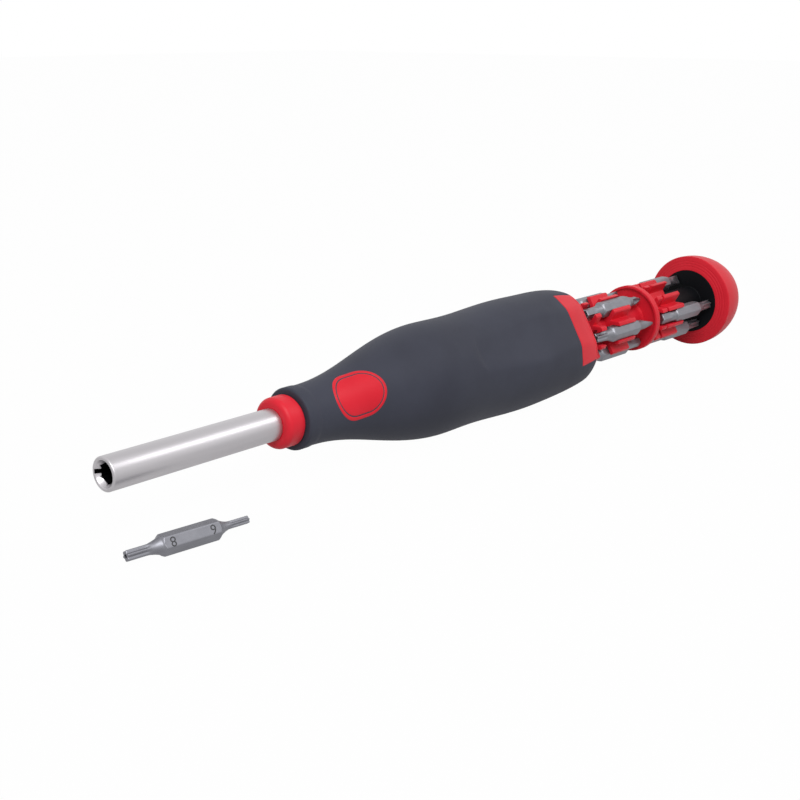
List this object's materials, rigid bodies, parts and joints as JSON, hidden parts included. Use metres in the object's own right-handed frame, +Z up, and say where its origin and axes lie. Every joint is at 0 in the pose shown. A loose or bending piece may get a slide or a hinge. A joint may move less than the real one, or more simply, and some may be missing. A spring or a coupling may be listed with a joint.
{
  "type": "pocket screwdriver",
  "caption": "Hand screwdriver with a hex bit socket at its tip, a waisted grip and a pull-out, turning magazine of double-ended bits under a domed cap.",
  "frame": {"origin": "centre of the bit socket's mouth, at the tip of the shaft", "axes": "+X along the driver's axis from the tip to the cap, +Z up from the surface that the driver lies on, -Y to the side where the loose bit lies"},
  "size_m": [0.2439, 0.0312, 0.0285],
  "materials": {
    "shaft_steel": "brushed round the shaft",
    "magnet": "plated",
    "red_plastic": "fine moulded",
    "grip_rubber": "soft-touch, fine matt",
    "black_plastic": "fine moulded",
    "bit_steel": "satin, phosphated"
  },
  "bodies": {
    "handle": {"shaft": "shaft_steel", "bit_magnet": "magnet", "handle_core": "red_plastic", "grip_sleeve": "grip_rubber", "end_ring": "red_plastic"},
    "slider": {"guide": "black_plastic"},
    "magazine": {"spindle": "red_plastic", "front_bit_holder": "red_plastic", "middle_disc": "red_plastic", "rear_bit_holder": "red_plastic", "cap_insert": "black_plastic", "cap_dome": "red_plastic", "front_bit_1": "bit_steel", "front_bit_2": "bit_steel", "front_bit_3": "bit_steel", "front_bit_4": "bit_steel", "front_bit_5": "bit_steel", "front_bit_6": "bit_steel", "rear_bit_1": "bit_steel", "rear_bit_2": "bit_steel", "rear_bit_3": "bit_steel", "rear_bit_4": "bit_steel", "rear_bit_5": "bit_steel"},
    "loose_bit": {"loose_bit": "bit_steel"}
  },
  "joints": [
    {"name": "magazine_slide", "type": "slide", "parent": "handle", "child": "slider", "axis": [1, 0, 0], "range_m": [-0.0681, 0]},
    {"name": "magazine_spin", "type": "hinge", "parent": "slider", "child": "magazine", "pos_m": [0.1495, 0, 0], "axis": [1, 0, 0], "continuous": true},
    {"name": "loose_bit_lift", "type": "slide", "parent": "handle", "child": "loose_bit", "axis": [0, 0, 1], "range_m": [0, 0.03]}
  ]
}
